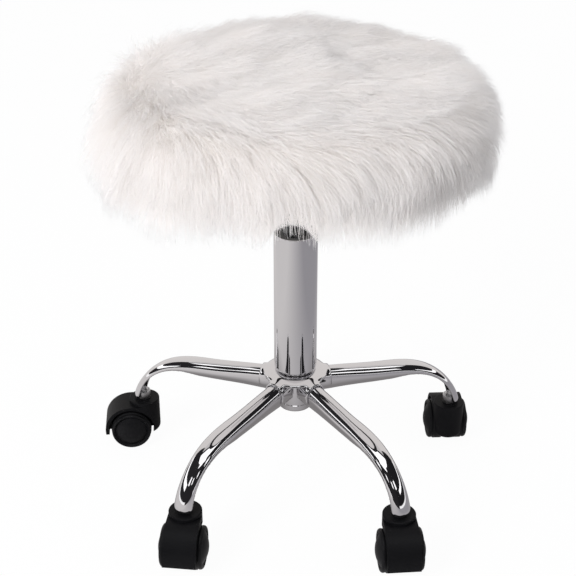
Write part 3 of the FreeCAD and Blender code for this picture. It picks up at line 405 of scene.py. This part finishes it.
def even_normals(rounds):
    """A node group that averages a mesh's shading normals over neighbouring points."""
    tree = bpy.data.node_groups.new("even_normals", "GeometryNodeTree")
    for way in ("INPUT", "OUTPUT"):
        tree.interface.new_socket("Geometry", in_out=way, socket_type="NodeSocketGeometry")
    start, end = tree.nodes.new("NodeGroupInput"), tree.nodes.new("NodeGroupOutput")
    normal = tree.nodes.new("GeometryNodeInputNormal")
    evened = tree.nodes.new("GeometryNodeBlurAttribute")
    evened.data_type = "FLOAT_VECTOR"
    evened.inputs["Iterations"].default_value = rounds
    shaded = tree.nodes.new("GeometryNodeSetMeshNormal")
    shaded.mode = "FREE"
    shaded.domain = "POINT"
    value = [s for s in evened.inputs if s.name == "Value" and s.enabled][0]
    tree.links.new(normal.outputs[0], value)
    tree.links.new(start.outputs[0], shaded.inputs["Mesh"])
    tree.links.new([s for s in evened.outputs if s.enabled][0], shaded.inputs["Custom Normal"])
    tree.links.new(shaded.outputs[0], end.inputs[0])
    return tree


averaged = even_normals(NORMAL_ROUNDS)
pressed = [name for name in nodes if name.startswith("leg_") or name == "hub_cover"]
for name in pressed:
    evened = nodes[name].modifiers.new("even_faces", "REMESH")
    evened.mode = "VOXEL"
    evened.voxel_size = FACE_MM * MM
    evened.use_smooth_shade = True
    smoothed = nodes[name].modifiers.new("smoothed", "SMOOTH")
    smoothed.factor = 0.5
    smoothed.iterations = SMOOTH_ROUNDS
    nodes[name].modifiers.new("even_normals", "NODES").node_group = averaged
print("even faces on", pressed)

# %% [markdown]
# Mirrors see the ring cards instead of the seat. Its underside is deep in shade, and a few light samples
# would make it a field of specks in the chrome.

# %% The seat in mirrors
bodies = frame["record"]["behaviour"]["bodies"]
for name in [*bodies["seat"], *bodies["lever"]]:
    nodes[name].visible_glossy = False
print("hidden from mirrors", len(bodies["seat"]) + len(bodies["lever"]))

# %% [markdown]
# The cushion's cover is faux fur: long acrylic pile on a knitted backing, pulled over the foam and stapled
# under the board. The backing is one closed form, a round cushion a little fuller than the foam, turned
# from a profile with a low crown and a rounded edge. It is flat underneath, where it rests on the board.

# %% The cushion under the fur
BACKING = 2.0 * MM
SKIN_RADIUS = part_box("seat_foam")[1][0] + BACKING
SKIN_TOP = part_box("seat_foam")[1][2] + BACKING
SKIN_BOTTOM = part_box("seat_board")[0][2] - BACKING
EDGE_ROUND = 26 * MM
CROWN = 5 * MM
UNDER_ROUND = 8 * MM
UNDER_RADIUS = 150 * MM
PROFILE_STEPS = 400


def skin_profile():
    """Radius and height along the cover, from the top's middle, over the edge, to the hem underneath."""
    flat = SKIN_RADIUS - EDGE_ROUND
    shoulder = SKIN_TOP - CROWN
    top = [(r, SKIN_TOP - CROWN * (r / flat) ** 2) for r in np.linspace(0, flat, 60)]
    turn = [
        (flat + EDGE_ROUND * math.sin(a), shoulder - EDGE_ROUND * (1 - math.cos(a)))
        for a in np.linspace(0.05, math.pi / 2, 24)
    ]
    low_turn = [
        (SKIN_RADIUS - UNDER_ROUND * (1 - math.cos(a)), SKIN_BOTTOM + UNDER_ROUND * (1 - math.sin(a)))
        for a in np.linspace(0, math.pi / 2, 12)
    ]
    line = np.array(top + turn + low_turn + [(UNDER_RADIUS, SKIN_BOTTOM)])
    along = np.concatenate([[0], np.cumsum(np.hypot(*np.diff(line, axis=0).T))])
    even = np.linspace(0, along[-1], PROFILE_STEPS)
    return np.stack([np.interp(even, along, line[:, k]) for k in (0, 1)], axis=1)


def turned_cushion(name, steps=96, every=8):
    """The closed form that the profile sweeps, with a flat underside."""
    line = profile[::every]
    points = [(0, 0, float(line[0][1]))]
    turns = [2 * math.pi * i / steps for i in range(steps)]
    for r, z in line[1:]:
        points += [(float(r) * math.cos(t), float(r) * math.sin(t), float(z)) for t in turns]
    rings = len(line) - 1
    faces = [(0, 1 + i, 1 + (i + 1) % steps) for i in range(steps)]
    for ring in range(rings - 1):
        first, second = 1 + ring * steps, 1 + (ring + 1) * steps
        for i in range(steps):
            after = (i + 1) % steps
            faces.append((first + i, second + i, second + after, first + after))
    faces.append(tuple(1 + (rings - 1) * steps + i for i in reversed(range(steps))))
    return mesh_object(name, points, faces)


profile = skin_profile()
cushion = turned_cushion("fur_backing")
print("cushion faces", len(cushion.data.polygons), "radius", round(SKIN_RADIUS, 4))

# %% [markdown]
# Fur reads as fur because of its order, not its number of hairs: roots are even, hairs near each other lean
# the same way, and their tips draw together into locks. So each hair starts at a root on the cover. Every
# root knows its outward normal and the directions downhill and sideways along the cover.

# %% Roots
rng = np.random.default_rng(11)
HEM_ROOTS = 6
hem = int(np.argmax(profile[:, 1] <= SKIN_BOTTOM + 0.1 * MM))
LAST_ROOT = hem + HEM_ROOTS


def unit(vectors):
    """Vectors scaled to length 1."""
    return vectors / np.linalg.norm(vectors, axis=-1, keepdims=True)


slope = unit(np.gradient(profile, axis=0))


def make_roots(count):
    """Even roots over the cover: places, outward normals, downhill and sideways directions."""
    area = profile[:LAST_ROOT, 0]
    share = np.cumsum(area) / area.sum()
    at = np.interp(rng.random(count), share, np.arange(LAST_ROOT))
    turn = rng.random(count) * 2 * np.pi
    index = np.arange(len(profile))
    r, z = (np.interp(at, index, profile[:, k]) for k in (0, 1))
    dr, dz = (np.interp(at, index, slope[:, k]) for k in (0, 1))
    out = np.stack([np.cos(turn), np.sin(turn), np.zeros(count)], axis=1)
    up = np.array([0.0, 0.0, 1.0])
    place = out * r[:, None] + up * z[:, None]
    normal = unit(-out * dz[:, None] + up * dr[:, None])
    downhill = unit(out * dr[:, None] + up * dz[:, None])
    sideways = np.stack([-np.sin(turn), np.cos(turn), np.zeros(count)], axis=1)
    return {"place": place, "normal": normal, "downhill": downhill, "sideways": sideways}


print("roots from the middle to profile point", LAST_ROOT, "of", len(profile))

# %% [markdown]
# A hair leans along a comb direction. On top that is the nap, the way the pile was brushed, and towards the
# edge it turns downhill. Where the two cancel, at the left, hairs lean at random, so that no bare spot
# opens. A slow drift, the sum of a few long waves, bends the comb from place to place.

# %% Comb
NAP = math.radians(-12)
EDGE_COMB = 0.9
CREST_WIDTH = 0.4
COMB_DRIFT = math.radians(26)
HAIR_SWING, CREST_SWING = 0.2, 2.0
WAVES = 7


def drift(place, wavelength, seed):
    """A smooth random field from about -1 to 1 whose bumps are about a wavelength apart."""
    dice = np.random.default_rng(seed)
    total = np.zeros(len(place))
    for _ in range(WAVES):
        heading = unit(dice.normal(size=3))
        cycles = place @ heading * 2 * np.pi / wavelength * dice.uniform(0.7, 1.4)
        total += np.sin(cycles + dice.uniform(0, 6.3))
    return total / (WAVES / 2)


def comb_directions(roots, loose):
    """Each hair's direction along the cover, and how near it is to the place where the comb cancels."""
    place, normal = roots["place"], roots["normal"]
    turn = np.arctan2(place[:, 1], place[:, 0])
    outward = np.clip(np.hypot(place[:, 0], place[:, 1]) / SKIN_RADIUS, 0, 1) ** 2
    nap = np.clip(normal[:, 2], 0, 1)
    comb = roots["downhill"] * (nap * np.cos(turn - NAP) + EDGE_COMB * outward)[:, None]
    comb = comb - roots["sideways"] * (nap * np.sin(turn - NAP))[:, None]
    crest = np.exp(-((np.linalg.norm(comb, axis=1) / CREST_WIDTH) ** 2))
    comb = unit(comb)
    across = np.cross(normal, comb)
    stray = rng.normal(size=len(place)) * (HAIR_SWING * loose + CREST_SWING * crest)
    swing = COMB_DRIFT * drift(place, 120 * MM, 3) + stray
    return comb * np.cos(swing)[:, None] + across * np.sin(swing)[:, None], crest


print("nap", round(math.degrees(NAP)), "degrees from +X")

# %% [markdown]
# A hair stands up at its root, bends over, and sags a little towards its tip. In the photograph the pile is
# longest at the left and right, where it also flares out, and shorter at the back right, so lengths and
# lifts follow that. Hairs under the edge are half as long. Lifts are in degrees off the cover.

# %% Hairs
HAIR_POINTS = 6
HAIR_TOP = 54 * MM
HAIR_SIDE = 58 * MM
HAIR_LOW = 49 * MM
ROOT_DEPTH = 1.5 * MM
ROOT_LIFT, ROOT_LIFT_DRIFT, SIDE_DROOP = 57, 10, 6
TIP_LIFT, TIP_LIFT_DRIFT, CREST_LIFT = 4, 8, 10
HAIR_LIFT = 0.16
FLARE_LEFT, FLARE_RIGHT = 28, 16
LONGER_SIDES, SHORTER_BACK, SHORTER_UNDER, SHORTER_CREST = 0.36, 0.28, 0.5, 0.2
LENGTH_DRIFT = 0.12
SHORTEST, LONGEST = -0.3, 0.12
BACK_RIGHT = math.radians(40)
SAG, SAG_SIDE = 0.1, 0.5


def grow(roots, loose):
    """The points of each hair, from its root to its tip. Loose adds to how much each hair differs."""
    place, normal = roots["place"], roots["normal"]
    count = len(place)
    comb, crest = comb_directions(roots, loose)
    turn = np.arctan2(place[:, 1], place[:, 0])
    side = np.clip(1 - normal[:, 2], 0, 1)
    left = np.clip(-np.cos(turn), 0, 1) ** 2 * side
    right = np.clip(np.cos(turn), 0, 1) ** 6 * side
    back_right = np.clip(np.cos(turn - BACK_RIGHT), 0, 1) ** 2
    shoulder = SKIN_TOP - EDGE_ROUND
    low = np.clip((shoulder - place[:, 2]) / (shoulder - SKIN_BOTTOM), 0, 1)
    beneath = np.clip(-normal[:, 2], 0, 1)

    root_lift = np.radians(ROOT_LIFT - SIDE_DROOP * side + ROOT_LIFT_DRIFT * drift(place, 70 * MM, 5))
    root_lift = root_lift + loose * rng.normal(size=count) * HAIR_LIFT
    tip_lift = np.radians(TIP_LIFT + TIP_LIFT_DRIFT * drift(place, 90 * MM, 8) + CREST_LIFT * crest)
    tip_lift = tip_lift + np.radians(FLARE_LEFT * left + FLARE_RIGHT * right)

    length = HAIR_TOP + (HAIR_SIDE - HAIR_TOP) * side + (HAIR_LOW - HAIR_SIDE) * low
    length = length * (1 + LONGER_SIDES * (left + right) - SHORTER_BACK * back_right * (1 - low))
    length = length * (1 - SHORTER_UNDER * beneath) * (1 - SHORTER_CREST * crest)
    own_share = loose * rng.uniform(SHORTEST, LONGEST, count)
    length = length * (1 + LENGTH_DRIFT * drift(place, 60 * MM, 9) + own_share)

    sag = np.array([0.0, 0.0, -1.0]) * (SAG + SAG_SIDE * side)[:, None]
    points = [place - normal * ROOT_DEPTH]
    for k in range(1, HAIR_POINTS):
        s = k / (HAIR_POINTS - 1)
        lift = root_lift * (1 - s) + tip_lift * s
        ahead = unit(normal * np.sin(lift)[:, None] + comb * np.cos(lift)[:, None] + sag * s)
        points.append(points[-1] + ahead * (length / (HAIR_POINTS - 1))[:, None])
    return np.stack(points, axis=1)


print("hair lengths", [round(length / MM) for length in (HAIR_TOP, HAIR_SIDE, HAIR_LOW)], "mm")

# %% [markdown]
# Each hair is drawn to the nearest small lock, which is itself drawn to a larger lock, most at the tip.
# Real hairs are far finer than a pixel, so each one here is a thin strand that stands for a few of them.

# %% Locks
LARGE_LOCKS, LARGE_PULL = 460, 0.38
SMALL_LOCKS, SMALL_PULL = 5200, 0.32
HAIRS = 96000
FRIZZ = 0.5 * MM


def nearest(roots, guides):
    """For each root, which guide's root is nearest."""
    tree = kdtree.KDTree(len(guides["place"]))
    for i, place in enumerate(guides["place"]):
        tree.insert(place, i)
    tree.balance()
    return np.array([tree.find(place)[1] for place in roots["place"]])


def draw_together(hairs, locks, owner, pull, power):
    """Draws hairs to their lock's line, not at all at the root and by the pull at the tip."""
    return hairs + (locks[owner] - hairs) * pull * to_tip**power


to_tip = np.linspace(0, 1, HAIR_POINTS)[None, :, None]
large_roots, small_roots, roots = (make_roots(n) for n in (LARGE_LOCKS, SMALL_LOCKS, HAIRS))
large = grow(large_roots, 0.6)
small = draw_together(grow(small_roots, 0.8), large, nearest(small_roots, large_roots), LARGE_PULL, 1.3)
owner = nearest(roots, small_roots)
hairs = draw_together(grow(roots, 1.0), small, owner, SMALL_PULL, 1.1)
hairs = hairs + rng.normal(size=hairs.shape) * FRIZZ * to_tip
print("hairs", len(hairs), "highest", round(hairs[..., 2].max(), 4), "m")

# %% [markdown]
# The metalwork moves the fur aside in two places. The release lever tips up under the right edge, so the
# hairs there stay above its highest place. At the front, the hairs part at the column and show its open
# top, with a few strays over it.

# %% Hairs at the lever and the column
LEVER_ROOM = 8 * MM
LEVER_CLEAR = 2 * MM
PART_WIDTH = 1.15
PART_LOW = 34 * MM
PART_RISE = 30 * MM
STRAY_SHARE = 0.1
STRAY_DROP = 14 * MM


def lift_off_lever(hairs):
    """Lifts hairs out of the release lever's way, above its highest place."""
    joints = frame["record"]["behaviour"]["joints"]
    joint = [j for j in joints if j["name"] == "lever_tip"][0]
    low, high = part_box("lever_grip")
    rise = (high[0] - joint["pos_m"][0]) * math.tan(math.radians(joint["range_deg"][1]))
    clear = high[2] + rise + LEVER_CLEAR
    x, y, z = hairs[..., 0], hairs[..., 1], hairs[..., 2]
    beside = (y > low[1] - LEVER_ROOM) & (y < high[1] + LEVER_ROOM)
    beside &= (x > low[0] - 5 * LEVER_ROOM) & (x < high[0] + LEVER_ROOM)
    z[beside] = np.maximum(z[beside], clear)
    print("hairs stay above", round(clear, 4), "m over the lever")


def part_at_column(hairs):
    """Parts the front hairs at the column, so that its open top shows between them."""
    half = PART_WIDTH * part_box("column_tube")[1][0]
    x, y, z = hairs[..., 0], hairs[..., 1], hairs[..., 2]
    before = (np.abs(x) < half) & (y < -0.5 * SKIN_RADIUS)
    lifted = SKIN_BOTTOM - PART_LOW + PART_RISE * np.cos(x[before] / half * math.pi / 2) ** 0.7
    stray = np.broadcast_to(rng.random((len(hairs), 1)) < STRAY_SHARE, x.shape)[before]
    z[before] = np.maximum(z[before], lifted - stray * STRAY_DROP)
    print("hair points in front of the column", int(before.sum()))


lift_off_lever(hairs)
part_at_column(hairs)

# %% [markdown]
# A hair becomes a closed three-sided strand that tapers to a point. Blender's own hair curves would be
# quicker to make, but the visual model is exported as meshes.

# %% One strand
SIDES = 3


def strand_faces(rings):
    """The triangles of one strand: a closed root, its sides, and a pointed tip."""
    faces = [(2, 1, 0)]
    for ring in range(rings - 1):
        for k in range(SIDES):
            a, b = ring * SIDES + k, ring * SIDES + (k + 1) % SIDES
            faces += [(a, b, b + SIDES), (a, b + SIDES, a + SIDES)]
    last = (rings - 1) * SIDES
    faces += [(last + k, last + (k + 1) % SIDES, rings * SIDES) for k in range(SIDES)]
    return np.array(faces)


print("faces in a strand", len(strand_faces(HAIR_POINTS - 1)))

# %% [markdown]
# Strands are joined into a few pieces by the part of the cushion that they grow from. NumPy works out all
# their points at once and foreach_set hands them over, which is far quicker than adding faces singly. Each
# point keeps a painted shade, darker at the root than at the tip, with a little of its lock's own tone, for
# the finish to use.

# %% Fur pieces
HAIR_RADIUS = 0.21 * MM
TIP_SHARE = 0.3
SECTORS = 16
ROOT_TO_TIP_SHADE = 0.8
LOCK_TONE, HAIR_TONE = 0.3, 0.05


def strand_mesh(name, hairs, tone):
    """One mesh of all these hairs."""
    count, rings = len(hairs), HAIR_POINTS - 1
    per_hair = rings * SIDES + 1
    ahead = unit(np.gradient(hairs, axis=1))
    across = unit(np.cross(ahead, rng.normal(size=(count, 1, 3))))
    over = np.cross(ahead, across)
    thick = HAIR_RADIUS * np.linspace(1, TIP_SHARE, HAIR_POINTS)[None, :, None]
    corners = []
    for k in range(SIDES):
        a = 2 * math.pi * k / SIDES
        corners.append(hairs + thick * (across * math.cos(a) + over * math.sin(a)))
    ring_points = np.stack(corners, axis=2)[:, :rings].reshape(count, rings * SIDES, 3)
    points = np.concatenate([ring_points, hairs[:, -1:]], axis=1)
    faces = strand_faces(rings)[None] + np.arange(count)[:, None, None] * per_hair
    faces = faces.reshape(-1, 3)
    mesh = bpy.data.meshes.new(name)
    mesh.vertices.add(count * per_hair)
    mesh.vertices.foreach_set("co", points.ravel())
    mesh.loops.add(faces.size)
    mesh.loops.foreach_set("vertex_index", faces.ravel())
    mesh.polygons.add(len(faces))
    mesh.polygons.foreach_set("loop_start", np.arange(len(faces)) * 3)
    mesh.polygons.foreach_set("use_smooth", np.ones(len(faces), dtype=bool))
    mesh.update(calc_edges=True)
    # Painted shade: each point darker towards the root, plus its lock's random tone.
    along = np.append(np.repeat(np.linspace(0, 1, HAIR_POINTS)[:rings], SIDES), 1.0)
    shade = np.clip(along[None] * ROOT_TO_TIP_SHADE + tone[:, None], 0, 1).astype(np.float32)
    mesh.attributes.new("shade", "FLOAT", "POINT").data.foreach_set("value", shade.ravel())
    made = bpy.data.objects.new(name, mesh)
    scene.collection.objects.link(made)
    return made


lock_tone = rng.uniform(0.0, LOCK_TONE, SMALL_LOCKS)
tone = lock_tone[owner] + rng.uniform(-HAIR_TONE, HAIR_TONE, HAIRS)
sector = np.arctan2(roots["place"][:, 1], roots["place"][:, 0]) + np.pi
sector = np.minimum((sector / (2 * np.pi) * SECTORS).astype(int), SECTORS - 1)
fur_pieces = [
    strand_mesh(f"fur_{k + 1:02d}", hairs[sector == k], tone[sector == k]) for k in range(SECTORS)
]
print("fur pieces", [len(piece.data.polygons) for piece in fur_pieces])

# %% [markdown]
# Acrylic pile is clear plastic, and white because light scatters between many hairs. So half of the light
# goes through a hair, and a hair throws only a faint shadow on those under it. The colour is a warm white
# with a dull shine, and a painted shade makes it a little darker at the roots, where less light gets in.
# The backing is knitted, and lies hidden under the pile.

# %% Fur finish
GOES_THROUGH = 0.5
SHADOW_CLEAR = 0.86

acrylic_pile, tree = new_material("white_acrylic_pile")
shade = add(tree, "Attribute", attribute_name="shade")
# Painted shade: the pile's white is darker at the roots and lighter to the tips.
white_with_painted_root_shade = {"Factor": shade.outputs["Fac"], "A": linear("#f3efec"), "B": linear("#fdfcfc")}
white_with_painted_root_shade = add(tree, "Mix", white_with_painted_root_shade, data_type="RGBA")
inputs = {"Base Color": white_with_painted_root_shade.outputs["Result"], "Roughness": 0.65, "Specular IOR Level": 0.2}
outside = add(tree, "BsdfPrincipled", inputs)
through = add(tree, "BsdfTranslucent", {"Color": white_with_painted_root_shade.outputs["Result"]})
shader = add(tree, "MixShader", {0: GOES_THROUGH, 1: outside.outputs[0], 2: through.outputs[0]})
clear = add(tree, "BsdfTransparent")
path = add(tree, "LightPath")
dim = add(tree, "Math", {0: path.outputs["Is Shadow Ray"], 1: SHADOW_CLEAR}, operation="MULTIPLY")
shader = add(tree, "MixShader", {0: dim.outputs[0], 1: shader.outputs[0], 2: clear.outputs[0]})
add(tree, "OutputMaterial", {"Surface": shader.outputs[0]})

knit_backing = moulded("knitted_fur_backing", "#f2efec", "#e9e5e1", 0.9, 1.5, 0.4)
cushion.data.materials.append(knit_backing)
cushion.visible_glossy = False
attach(cushion, "seat")
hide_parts("fur_cover")
for piece in fur_pieces:
    piece.data.materials.append(acrylic_pile)
    piece.visible_glossy = False
    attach(piece, "seat")
print("fur rides on the seat")

# %% [markdown]
# The last cell keeps a record of the CAD box and the dressed stool's box, so the two can be compared.

# %% Sizes
dressed_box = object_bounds()
boxes = {"cad": cad_box, "dressed": dressed_box}
boxes = {name: [[float(c) for c in corner] for corner in box] for name, box in boxes.items()}
print("dressed box", boxes["dressed"])
